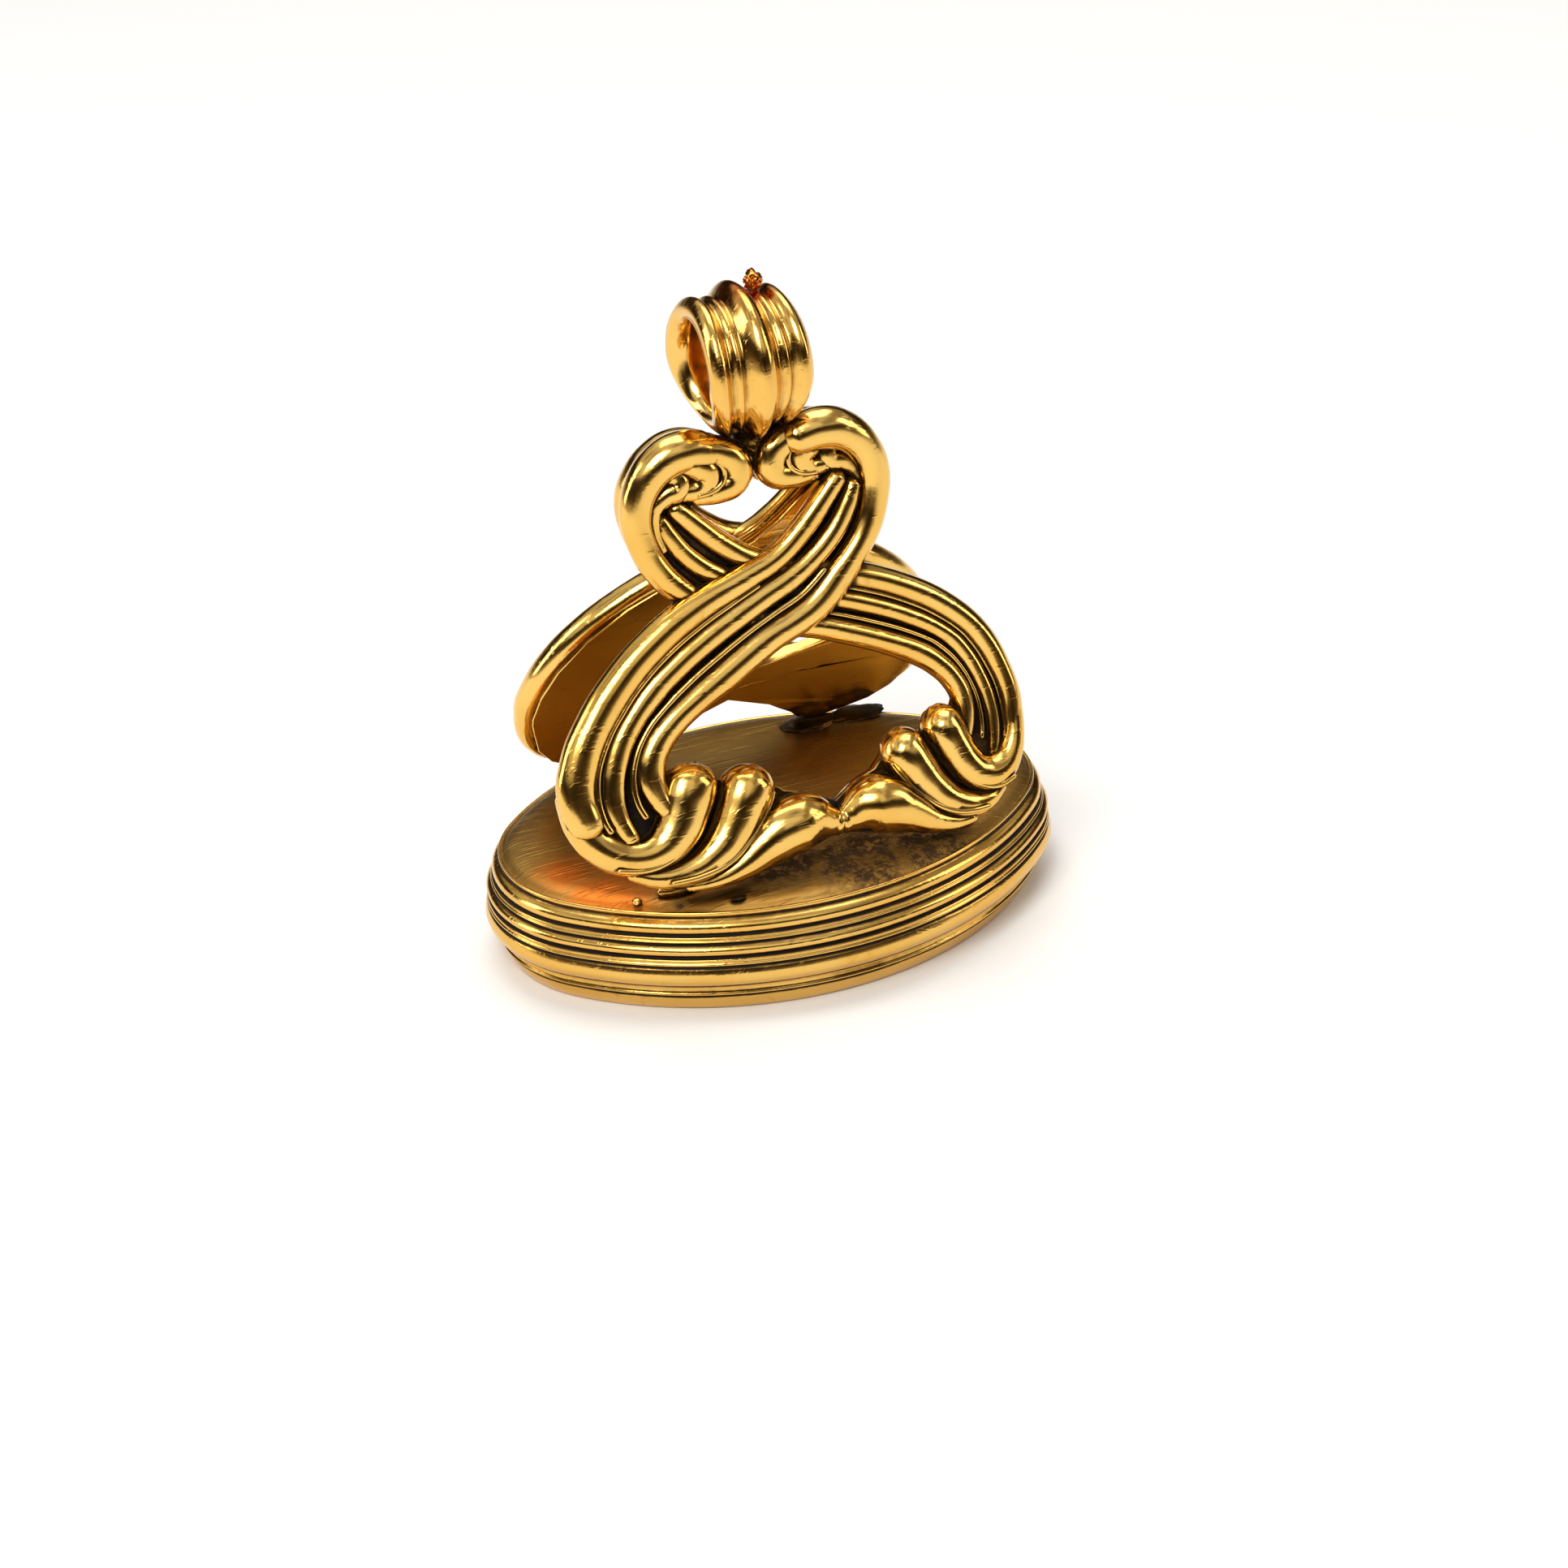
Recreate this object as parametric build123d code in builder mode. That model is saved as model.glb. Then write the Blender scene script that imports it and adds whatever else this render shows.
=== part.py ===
"""Oval fob seal: moulded base, two openwork scroll plates leaning together, fluted bail."""
import os
from math import atan2, cos, radians, sin, tan

from build123d import *

# Sizes in millimetres.  Z is up, X is the long way of the oval, Y goes to the back.
BASE_LENGTH = 24.5        # oval base, end to end, over its widest reed
BASE_WIDTH = 17.4         # oval base, front to back
BASE_END_RADIUS = 6.0     # radius of the oval's two ends
BASE_HEIGHT = 4.8         # underside to top plate
MOULDING_DEPTH = 1.1      # how far the rim's profile runs in from its widest reed
BEZEL_WIDTH = 0.9         # flat ring on which the seal stands
STONE_THICKNESS = 2.0     # seal stone set in the underside
STONE_RECESS = 0.2        # stone's face above the ring that it stands on
STONE_CLEARANCE = 0.05    # gap all round the stone

SCROLL_HALF_WIDTH = 9.85  # scroll plate, centre to the outer edge of a lower scroll
SCROLL_HEIGHT = 18.0      # scroll plate, measured up its slope
PLATE_LEAN = 18.5         # degrees that each plate leans in
PLATE_FOOT_INSET = 2.6    # foot of a plate, in from the oval's edge
BACK_BELOW = 0.3          # back of the plates, behind the feet's line
BACK_ABOVE = 0.35         # front of the flat web that carries the reeds
REED_RADIUS = 0.63        # the three reeds of a strap
INNER_REED_RADIUS = 0.72  # the wider inner reed
OVER_LEVEL = 0.7          # centre of the reeds of the strap that crosses on top
UNDER_LEVEL = 0.35        # centre of the reeds of the strap below
LOBE_RADIUS = 0.8         # rounded heads of the shell lobes
BEND_SHARE = 0.45         # part of a run that the arc at its end may use
END_SWELL = 1.02          # a rounded end, as a share of the section it closes
FOOT_SPACING = 12.6       # solder pads at the feet of a plate
FOOT_PAD_RADIUS = 0.85    # solder pad

BAIL_WIDTH = 4.2          # fluted loop, along its hole
BAIL_OUTER_RADIUS = 3.15  # over the middle ridge
BAIL_BORE_RADIUS = 1.9    # hole for a jump ring or a ribbon
BAIL_BASE_SHARE = 0.66    # width at its foot, as a share of its width
BAIL_TOP_SHARE = 0.8      # width at its top
BAIL_SINK = 0.85          # how far the loop's foot sinks into the solder
SOLDER_RADIUS = 1.5       # solder that joins the curls and the loop

lean = radians(PLATE_LEAN)
half_length = BASE_LENGTH / 2
half_width = BASE_WIDTH / 2
foot_y = half_width - PLATE_FOOT_INSET
plate_top_z = BASE_HEIGHT + SCROLL_HEIGHT * cos(lean)
bail_centre_z = plate_top_z - BAIL_SINK + BAIL_OUTER_RADIUS


def side_radius(end_radius, length, width):
    """Radius of the oval's long sides that meets its ends without a corner."""
    reach = length - end_radius
    return (reach ** 2 + width ** 2 - end_radius ** 2) / (2 * (width - end_radius))


def oval(inset):
    """Closed path of four tangent arcs, a fixed distance inside the widest reed."""
    end = BASE_END_RADIUS
    side = side_radius(end, half_length, half_width)
    reach = half_length - end
    drop = side - half_width
    angle = atan2(drop, reach)
    x = reach + (end - inset) * cos(angle)
    y = (end - inset) * sin(angle)
    ThreePointArc((x, -y), (half_length - inset, 0), (x, y))
    ThreePointArc((x, y), (0, half_width - inset), (-x, y))
    ThreePointArc((-x, y), (inset - half_length, 0), (-x, -y))
    ThreePointArc((-x, -y), (0, inset - half_width), (x, -y))


# Rim of the base from the top plate down.  Each arc runs to a point at a share of the
# moulding's depth and of the base's height, over a crest at a share of the same two.
RIM_START = (0.62, 1.0)
RIM_ARCS = [
    ((0.86, 0.945), (0.80, 0.975)),
    ((0.50, 0.885), (0.86, 0.905)),
    ((0.42, 0.785), (0.22, 0.835)),
    ((0.30, 0.675), (0.22, 0.720)),
    ((0.24, 0.525), (0.00, 0.600)),
    ((0.28, 0.420), (0.10, 0.465)),
    ((0.45, 0.230), (0.06, 0.325)),
    ((0.60, 0.150), (0.66, 0.190)),
    ((0.62, 0.118), (0.52, 0.134)),
    ((0.84, 0.000), (0.68, 0.060)),
]


def rim_point(share):
    """Point of the rim's profile: distance out from the oval's middle at its end, and height."""
    return (half_length - share[0] * MOULDING_DEPTH, share[1] * BASE_HEIGHT)


# One scroll plate, drawn flat.  Points are shares of the half width and of the height,
# for the strap that starts in the left scroll, crosses and ends in the right-hand curl.
REED_OUTER = [
    (-0.900, 0.185), (-0.940, 0.272), (-0.912, 0.340), (-0.843, 0.425), (-0.718, 0.504),
    (-0.533, 0.578), (-0.330, 0.632), (-0.086, 0.678), (0.046, 0.706), (0.155, 0.742),
    (0.244, 0.785), (0.310, 0.824),
]
REED_MIDDLE = [
    (-0.808, 0.200), (-0.822, 0.258), (-0.797, 0.332), (-0.731, 0.404), (-0.629, 0.464),
    (-0.497, 0.514), (-0.345, 0.558), (-0.193, 0.594), (-0.051, 0.625), (0.096, 0.656),
    (0.218, 0.698), (0.315, 0.748), (0.370, 0.795),
]
REED_INNER = [
    (-0.670, 0.238), (-0.688, 0.292), (-0.655, 0.343), (-0.584, 0.390), (-0.487, 0.428),
    (-0.365, 0.464), (-0.234, 0.500), (-0.102, 0.533), (0.041, 0.559), (0.142, 0.583),
    (0.254, 0.624), (0.355, 0.674), (0.426, 0.729), (0.460, 0.790), (0.452, 0.851),
    (0.406, 0.906), (0.325, 0.945), (0.234, 0.958),
]
# Lobes: centre points, and radii as shares of a lobe's head.
LOWER_LOBES = [
    ([(-0.900, 0.190), (-0.858, 0.140), (-0.790, 0.110), (-0.720, 0.110), (-0.660, 0.135),
      (-0.615, 0.180), (-0.580, 0.235)], [0.72, 0.70, 0.70, 0.75, 0.85, 0.95, 0.95]),
    ([(-0.790, 0.066), (-0.690, 0.062), (-0.590, 0.080), (-0.500, 0.115), (-0.430, 0.160),
      (-0.385, 0.215)], [0.40, 0.50, 0.65, 0.82, 0.97, 1.00]),
    ([(-0.630, 0.026), (-0.500, 0.030), (-0.390, 0.060), (-0.290, 0.096), (-0.190, 0.115),
      (-0.080, 0.108), (0.015, 0.094)], [0.35, 0.45, 0.65, 0.80, 0.80, 0.65, 0.50]),
]
UPPER_LOBES = [
    ([(0.310, 0.935), (0.190, 0.910), (0.110, 0.860), (0.115, 0.805), (0.190, 0.768)],
     [0.50, 0.85, 1.05, 0.90, 0.50]),
    ([(0.330, 0.905), (0.250, 0.885), (0.200, 0.850), (0.215, 0.815), (0.270, 0.795)],
     [0.35, 0.60, 0.75, 0.60, 0.40]),
    ([(0.355, 0.800), (0.310, 0.822), (0.300, 0.850), (0.330, 0.868)],
     [0.45, 0.60, 0.60, 0.45]),
]
WEB_SCROLL = [
    (-0.905, 0.200), (-0.870, 0.120), (-0.780, 0.060), (-0.620, 0.022), (-0.440, 0.028),
    (-0.280, 0.070), (-0.120, 0.088), (0.020, 0.085), (0.020, 0.110), (-0.120, 0.128),
    (-0.260, 0.150), (-0.370, 0.225), (-0.470, 0.262), (-0.590, 0.275), (-0.660, 0.300),
    (-0.900, 0.320), (-0.945, 0.260),
]
CURL_CENTRE = (0.275, 0.856)
CURL_WEB_SHARE = 0.9      # flat disc behind a curl, as a share of the curl's own radius
CURL_RADIUS_SHARE = 0.215


def flat(point):
    """Point of the flat plate from its shares."""
    return Vector(point[0] * SCROLL_HALF_WIDTH, point[1] * SCROLL_HEIGHT)


def route(points, mirror):
    """Points of a strap in the flat plate, mirrored for the other hand."""
    side = -1 if mirror else 1
    return [Vector(side * flat(p).X, flat(p).Y, 0) for p in points]


def heading(points, i):
    """Direction of the route at one of its points."""
    before = points[max(i - 1, 0)]
    after = points[min(i + 1, len(points) - 1)]
    return (after - before).normalized()


def bends(spots):
    """Radius at each inner point, the largest that its two runs allow."""
    radii = []
    for before, spot, after in zip(spots, spots[1:], spots[2:]):
        run = min((spot - before).length, (after - spot).length)
        turn = radians((spot - before).get_angle(after - spot))
        radii.append(BEND_SHARE * run / tan(turn / 2))
    return radii


def reed(points, radius, level, mirror):
    """Round reed along short lines with a tangent arc at each point."""
    spots = [p + Vector(0, 0, level) for p in route(points, mirror)]
    with BuildPart() as rod:
        with BuildLine() as path:
            FilletPolyline(*spots, radius=bends(spots))
        with BuildSketch(Plane(origin=path.line @ 0, z_dir=path.line % 0)):
            Circle(radius)
        sweep(path=path.line)
        with Locations(spots[0], spots[-1]):
            Sphere(radius * END_SWELL)
    return rod.part


def lobe(points, shares, level, mirror):
    """Lobe that swells along its route and ends in a rounded head."""
    spots = [p + Vector(0, 0, level) for p in route(points, mirror)]
    with BuildPart() as drop:
        for i, (spot, share) in enumerate(zip(spots, shares)):
            with BuildSketch(Plane(origin=spot, z_dir=heading(spots, i))):
                Circle(LOBE_RADIUS * share)
        loft()
        for spot, share in ((spots[0], shares[0]), (spots[-1], shares[-1])):
            with Locations(spot):
                Sphere(LOBE_RADIUS * share * END_SWELL)
    return drop.part


flutes = []
for side, level in ((False, OVER_LEVEL), (True, UNDER_LEVEL)):
    flutes.append(reed(REED_OUTER, REED_RADIUS, level, side))
    flutes.append(reed(REED_MIDDLE, REED_RADIUS, level, side))
    flutes.append(reed(REED_INNER, INNER_REED_RADIUS, level, side))
    for points, shares in LOWER_LOBES + UPPER_LOBES:
        flutes.append(lobe(points, shares, UNDER_LEVEL, side))

with BuildPart() as scroll_plate:
    with BuildSketch(Plane.XY.offset(-BACK_BELOW)):
        for side in (False, True):
            with BuildLine():
                Polyline(*route(WEB_SCROLL, side), close=True)
            make_face()
            outer = route(REED_OUTER, side)
            inner = route(REED_INNER[:15], side)
            with BuildLine():
                Polyline(*outer, *reversed(inner), close=True)
            make_face()
            with Locations(route([CURL_CENTRE], side)[0]):
                Circle(CURL_RADIUS_SHARE * SCROLL_HALF_WIDTH * CURL_WEB_SHARE)
    extrude(amount=BACK_BELOW + BACK_ABOVE)
    for flute in flutes:
        add(flute)

front_plane = Plane(origin=(0, -foot_y, BASE_HEIGHT), x_dir=(1, 0, 0),
                    z_dir=(0, -cos(lean), sin(lean)))
back_plane = Plane(origin=(0, foot_y, BASE_HEIGHT), x_dir=(-1, 0, 0),
                   z_dir=(0, cos(lean), sin(lean)))

with BuildPart() as bail:
    # Ring with a wide middle ridge between two narrower ones, turned about its hole.
    ridge = BAIL_WIDTH / 4
    groove = BAIL_OUTER_RADIUS - BAIL_WIDTH * 0.11
    flank = BAIL_OUTER_RADIUS - BAIL_WIDTH * 0.045
    edge = BAIL_OUTER_RADIUS - BAIL_WIDTH * 0.16
    with BuildSketch(Plane.XZ):
        with BuildLine():
            Line((-BAIL_WIDTH / 2, BAIL_BORE_RADIUS), (-BAIL_WIDTH / 2, edge))
            ThreePointArc((-BAIL_WIDTH / 2, edge), (-BAIL_WIDTH * 0.36, flank), (-ridge, groove))
            ThreePointArc((-ridge, groove), (0, BAIL_OUTER_RADIUS), (ridge, groove))
            ThreePointArc((ridge, groove), (BAIL_WIDTH * 0.36, flank), (BAIL_WIDTH / 2, edge))
            Line((BAIL_WIDTH / 2, edge), (BAIL_WIDTH / 2, BAIL_BORE_RADIUS))
            Line((BAIL_WIDTH / 2, BAIL_BORE_RADIUS), (-BAIL_WIDTH / 2, BAIL_BORE_RADIUS))
        make_face()
    revolve(axis=Axis.X)
    # Seen from the front it bulges at the middle and narrows to its foot.
    base_half = BAIL_WIDTH / 2 * BAIL_BASE_SHARE
    top_half = BAIL_WIDTH / 2 * BAIL_TOP_SHARE
    with BuildSketch(Plane.XZ):
        with BuildLine():
            Line((-base_half, -BAIL_OUTER_RADIUS), (base_half, -BAIL_OUTER_RADIUS))
            ThreePointArc((base_half, -BAIL_OUTER_RADIUS), (BAIL_WIDTH / 2, 0),
                          (top_half, BAIL_OUTER_RADIUS))
            Line((top_half, BAIL_OUTER_RADIUS), (-top_half, BAIL_OUTER_RADIUS))
            ThreePointArc((-top_half, BAIL_OUTER_RADIUS), (-BAIL_WIDTH / 2, 0),
                          (-base_half, -BAIL_OUTER_RADIUS))
        make_face()
    extrude(amount=BAIL_OUTER_RADIUS * 1.1, both=True, mode=Mode.INTERSECT)

with BuildPart() as mount:
    with BuildLine() as rim_path:
        oval(0)
    with BuildSketch(Plane.XZ):
        with BuildLine():
            point = rim_point(RIM_START)
            core = half_length - MOULDING_DEPTH * 2
            Line((core, BASE_HEIGHT), point)
            for end, crest in RIM_ARCS:
                ThreePointArc(point, rim_point(crest), rim_point(end))
                point = rim_point(end)
            Line(point, (core, 0))
            Line((core, 0), (core, BASE_HEIGHT))
        make_face()
    sweep(path=rim_path.line)
    with BuildSketch():
        with BuildLine():
            oval(MOULDING_DEPTH * 1.5)
        make_face()
    extrude(amount=BASE_HEIGHT)
    for plane in (front_plane, back_plane):
        with Locations(plane.location):
            add(scroll_plate.part)
        for x in (-FOOT_SPACING / 2, FOOT_SPACING / 2):
            with Locations((x, plane.origin.Y, BASE_HEIGHT)):
                Sphere(FOOT_PAD_RADIUS)
    with Locations((0, 0, plate_top_z - SOLDER_RADIUS * 0.55)):
        Sphere(SOLDER_RADIUS)
    with Locations((0, 0, bail_centre_z)):
        add(bail.part)
        Cylinder(BAIL_BORE_RADIUS, BAIL_WIDTH * 1.5, rotation=(0, 90, 0), mode=Mode.SUBTRACT)
    # Socket for the stone, open below, with the standing ring round its mouth.
    pocket_inset = MOULDING_DEPTH * RIM_ARCS[-1][0][0] + BEZEL_WIDTH
    with BuildSketch():
        with BuildLine():
            oval(pocket_inset)
        make_face()
    extrude(amount=STONE_RECESS + STONE_THICKNESS + STONE_CLEARANCE, mode=Mode.SUBTRACT)

with BuildPart() as stone:
    with BuildSketch(Plane.XY.offset(STONE_RECESS)):
        with BuildLine():
            oval(pocket_inset + STONE_CLEARANCE)
        make_face()
    extrude(amount=STONE_THICKNESS)
    chamfer(stone.edges().group_by(Axis.Z)[0], STONE_THICKNESS * 0.2)

os.makedirs("parts", exist_ok=True)
mount.part.label = "scroll_mount"
export_step(mount.part, "parts/scroll_mount.step")
stone.part.label = "seal_stone"
export_step(stone.part, "parts/seal_stone.step")
for name, piece in (("scroll_mount", mount.part), ("seal_stone", stone.part)):
    box = piece.bounding_box()
    print(name, len(piece.solids()), "solids", round(piece.volume, 1), "mm3",
          [round(v, 2) for v in (box.min.X, box.min.Y, box.min.Z, box.max.X, box.max.Y, box.max.Z)])
    for body in piece.solids():
        box = body.bounding_box()
        print("   ", round(body.volume, 2), [round(v, 2) for v in (*box.min, *box.max)])
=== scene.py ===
"""Looks of the fob seal: gilt scrollwork over a moulded oval base, in millimetres until placed."""
from math import atan2, cos, pi, radians, sin

import bmesh
import bpy
from mathutils import Matrix, Vector, noise
from mathutils.bvhtree import BVHTree


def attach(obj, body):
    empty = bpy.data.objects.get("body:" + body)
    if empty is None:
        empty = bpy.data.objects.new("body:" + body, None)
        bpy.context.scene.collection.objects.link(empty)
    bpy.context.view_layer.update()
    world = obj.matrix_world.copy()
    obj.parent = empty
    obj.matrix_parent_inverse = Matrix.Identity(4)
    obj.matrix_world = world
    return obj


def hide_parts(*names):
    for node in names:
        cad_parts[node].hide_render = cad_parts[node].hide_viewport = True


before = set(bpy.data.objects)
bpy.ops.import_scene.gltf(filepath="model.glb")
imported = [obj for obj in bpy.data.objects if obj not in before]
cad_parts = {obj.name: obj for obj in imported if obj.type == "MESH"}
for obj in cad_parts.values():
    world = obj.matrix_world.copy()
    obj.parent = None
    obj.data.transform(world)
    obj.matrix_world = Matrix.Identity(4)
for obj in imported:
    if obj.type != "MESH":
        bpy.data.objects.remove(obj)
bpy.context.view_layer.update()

MM = 0.001

# Sizes in millimetres, the same as the part's.
BASE_LENGTH, BASE_WIDTH, BASE_HEIGHT = 24.5, 17.4, 4.8
BASE_END_RADIUS = 6.0
BEZEL_WIDTH, BEZEL_OUTSET = 0.9, 0.924
STONE_SEAT = 2.25
SCROLL_HALF_WIDTH, SCROLL_HEIGHT = 9.85, 18.0
PLATE_LEAN = radians(18.5)
PLATE_FOOT_INSET = 2.6
BAIL_WIDTH = 4.2
BAIL_OUTER_RADIUS, BAIL_BORE_RADIUS = 3.15, 1.9
BAIL_SINK = 0.85

# Sizes that only the looks have.  The plates are bent, and steeper towards the top.
FOOT_LEAN, TOP_LEAN = radians(30), radians(5)
# The front plate stands a little to the left, and the middle of its lower half to the right.
FRONT_SHIFT, FRONT_SWAY = -0.5, 1.3
# Shares of the plate's height at which the sway ends, and over which it fades.
SWAY_END, SWAY_FADE = 0.66, 0.22
# The back plate is a little smaller, and its lower edge rises between its feet.
BACK_SHIFT, BACK_SIZE = -0.1, 0.94
BACK_ARCH, ARCH_HALF_WIDTH, ARCH_FADE = 2.7, 3.8, 5.4
# The bail stands a little to the left, and narrows to its foot and to its top.
BAIL_OFFSET = 0.3
BAIL_FOOT_TAPER, BAIL_FOOT_POWER = 0.54, 1.8
BAIL_TOP_TAPER, BAIL_TOP_POWER = 0.16, 3
# Edge of the flat top plate: in from the widest reed, and down from the top.
TOP_EDGE_INSET, TOP_EDGE_FALL = 0.86, 0.34
# The top plate and the socket are closed flat this far in from the widest reed.
CAP_INSET = 4.6
WEB_ROUNDING = 0.05

half_length, half_width = BASE_LENGTH / 2, BASE_WIDTH / 2
# The oval's two ends are centred at the reach, its two sides at the drop beyond the middle.
end_reach = half_length - BASE_END_RADIUS
side_radius = ((end_reach ** 2 + half_width ** 2 - BASE_END_RADIUS ** 2)
               / (2 * (half_width - BASE_END_RADIUS)))
side_drop = side_radius - half_width
foot_y = half_width - PLATE_FOOT_INSET
plate_top_z = BASE_HEIGHT + SCROLL_HEIGHT * cos(PLATE_LEAN)
bail_centre_z = plate_top_z - BAIL_SINK + BAIL_OUTER_RADIUS


def add_piece(name, bm, material):
    """Turns a bmesh in millimetres into an object that rides on the seal's body."""
    bmesh.ops.scale(bm, vec=(MM, MM, MM), verts=bm.verts)
    mesh = bpy.data.meshes.new(name)
    for face in bm.faces:
        face.smooth = True
    bm.to_mesh(mesh)
    bm.free()
    piece = bpy.data.objects.new(name, mesh)
    bpy.context.collection.objects.link(piece)
    mesh.materials.append(material)
    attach(piece, "root")
    return piece


def curve_mesh(curve):
    """Mesh of a curve, which is then thrown away."""
    holder = bpy.data.objects.new("strand", curve)
    bpy.context.collection.objects.link(holder)
    graph = bpy.context.evaluated_depsgraph_get()
    mesh = bpy.data.meshes.new_from_object(holder.evaluated_get(graph))
    bpy.data.objects.remove(holder)
    bpy.data.curves.remove(curve)
    return mesh


def strand(bm, points, radii, behind, sides):
    """Adds a strand that swells as its radii say, with rounded ends and a back cut flat."""
    spots = [Vector(p) for p in points]
    sizes = list(radii)
    for end in (0, -1):
        inner = spots[1] if end == 0 else spots[-2]
        way = (spots[end] - inner).normalized()
        tip, size = spots[end].copy(), sizes[end]
        for turn in END_TURNS:
            place = 0 if end == 0 else len(spots)
            spots.insert(place, tip + way * size * sin(radians(turn)))
            sizes.insert(place, size * cos(radians(turn)))
    curve = bpy.data.curves.new("strand", "CURVE")
    curve.dimensions = "3D"
    curve.twist_mode = "Z_UP"
    curve.bevel_depth = 1.0
    curve.bevel_resolution = sides
    curve.resolution_u = 6
    curve.use_fill_caps = True
    line = curve.splines.new("BEZIER")
    line.radius_interpolation = "CARDINAL"
    line.bezier_points.add(len(spots) - 1)
    for knot, spot, size in zip(line.bezier_points, spots, sizes):
        knot.co = spot
        knot.radius = size
        knot.handle_left_type = knot.handle_right_type = "AUTO"
    mesh = curve_mesh(curve)
    for vertex in mesh.vertices:
        vertex.co.z = max(vertex.co.z, behind)
    bm.from_mesh(mesh)
    bpy.data.meshes.remove(mesh)


def slab(bm, outline, low, high):
    """Adds a flat web with the given outline, from one level to another."""
    curve = bpy.data.curves.new("web", "CURVE")
    curve.dimensions = "2D"
    curve.fill_mode = "BOTH"
    curve.extrude = (high - low) / 2 - WEB_ROUNDING
    curve.bevel_depth = WEB_ROUNDING
    curve.bevel_resolution = 1
    line = curve.splines.new("POLY")
    line.points.add(len(outline) - 1)
    for knot, spot in zip(line.points, outline):
        knot.co = (spot[0], spot[1], 0, 1)
    line.use_cyclic_u = True
    mesh = curve_mesh(curve)
    for vertex in mesh.vertices:
        vertex.co.z += (high + low) / 2
    bm.from_mesh(mesh)
    bpy.data.meshes.remove(mesh)


def lump(bm, centre, radius, seed, rough, stretch):
    """Adds an uneven drop of metal, stretched along x, y and z."""
    made = bmesh.ops.create_icosphere(bm, subdivisions=4, radius=1.0)
    for vertex in made["verts"]:
        way = vertex.co.normalized()
        swell = 1 + rough * noise.noise(way * 1.7 + Vector((seed, 0, seed)))
        swell += rough * 0.4 * noise.noise(way * 4.5 + Vector((0, seed, 0)))
        spread = Vector(way[i] * stretch[i] for i in range(3))
        vertex.co = Vector(centre) + spread * radius * swell


# A strand's end is rounded by rings at these angles.
END_TURNS = (30, 60, 87)

# Points are shares of the half width and of the height, for the strap that starts in the
# left scroll, crosses over and ends in the right-hand curl.
REED_OUTER = [
    (-0.930, 0.215), (-0.945, 0.275), (-0.916, 0.345), (-0.843, 0.425), (-0.718, 0.504),
    (-0.533, 0.578), (-0.330, 0.632), (-0.086, 0.678), (0.046, 0.706), (0.155, 0.750),
    (0.250, 0.802), (0.331, 0.850),
]
REED_MIDDLE = [
    (-0.800, 0.165), (-0.826, 0.218), (-0.826, 0.275), (-0.797, 0.335), (-0.731, 0.404),
    (-0.629, 0.464), (-0.497, 0.514), (-0.345, 0.558), (-0.193, 0.594), (-0.051, 0.625),
    (0.096, 0.656), (0.218, 0.696), (0.315, 0.746), (0.375, 0.796), (0.402, 0.828),
]
REED_INNER = [
    (-0.655, 0.205), (-0.684, 0.250), (-0.688, 0.300), (-0.655, 0.346), (-0.584, 0.390),
    (-0.487, 0.428), (-0.365, 0.464), (-0.234, 0.500), (-0.102, 0.533), (0.041, 0.559),
    (0.142, 0.583), (0.254, 0.624), (0.360, 0.674), (0.440, 0.730), (0.484, 0.790),
    (0.498, 0.852), (0.458, 0.915), (0.372, 0.960), (0.280, 0.974), (0.195, 0.966),
]
# Points of the inner reed that also bound the strap's web.
STRAP_POINTS = 16
# Lobes: centre points, and radii as shares of a lobe's head.
LOBE_RADIUS, CURL_LOBE_RADIUS = 0.96, 0.8
LOWER_LOBES = [
    ([(-0.950, 0.270), (-0.935, 0.210), (-0.885, 0.155), (-0.800, 0.122), (-0.710, 0.122),
      (-0.640, 0.150), (-0.590, 0.197), (-0.555, 0.241)],
     [0.62, 0.66, 0.72, 0.80, 0.88, 0.98, 1.06, 1.10]),
    ([(-0.800, 0.083), (-0.725, 0.065), (-0.620, 0.062), (-0.520, 0.082), (-0.440, 0.122),
      (-0.385, 0.168), (-0.345, 0.208)], [0.30, 0.45, 0.62, 0.80, 0.95, 1.08, 1.12]),
    ([(-0.620, 0.030), (-0.530, 0.030), (-0.420, 0.048), (-0.310, 0.083), (-0.210, 0.108),
      (-0.125, 0.112), (-0.030, 0.096)], [0.22, 0.36, 0.64, 1.02, 1.25, 1.15, 0.66]),
]
UPPER_LOBES = [
    ([(0.235, 0.976), (0.135, 0.960), (0.078, 0.930), (0.082, 0.896), (0.155, 0.878),
      (0.240, 0.874)], [0.70, 0.84, 0.86, 0.82, 0.70, 0.52]),
    ([(0.320, 0.958), (0.240, 0.944), (0.198, 0.916), (0.228, 0.892), (0.292, 0.888)],
     [0.66, 0.80, 0.80, 0.68, 0.54]),
    ([(0.412, 0.772), (0.434, 0.818), (0.424, 0.862), (0.372, 0.888), (0.320, 0.900),
      (0.324, 0.924), (0.378, 0.932)], [0.28, 0.34, 0.44, 0.58, 0.66, 0.60, 0.44]),
]
# Fine raised lines, beside the inner lobe of a curl and in the grooves between two lobes.
CURL_LINES = [
    [(0.205, 0.960), (0.143, 0.936), (0.138, 0.908), (0.180, 0.886), (0.245, 0.880)],
]
LOBE_LINES = [
    [(-0.860, 0.100), (-0.770, 0.088), (-0.680, 0.098), (-0.600, 0.128), (-0.535, 0.172),
     (-0.480, 0.225)],
    [(-0.690, 0.046), (-0.590, 0.046), (-0.480, 0.062), (-0.385, 0.100), (-0.310, 0.145),
     (-0.262, 0.190)],
]
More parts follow.
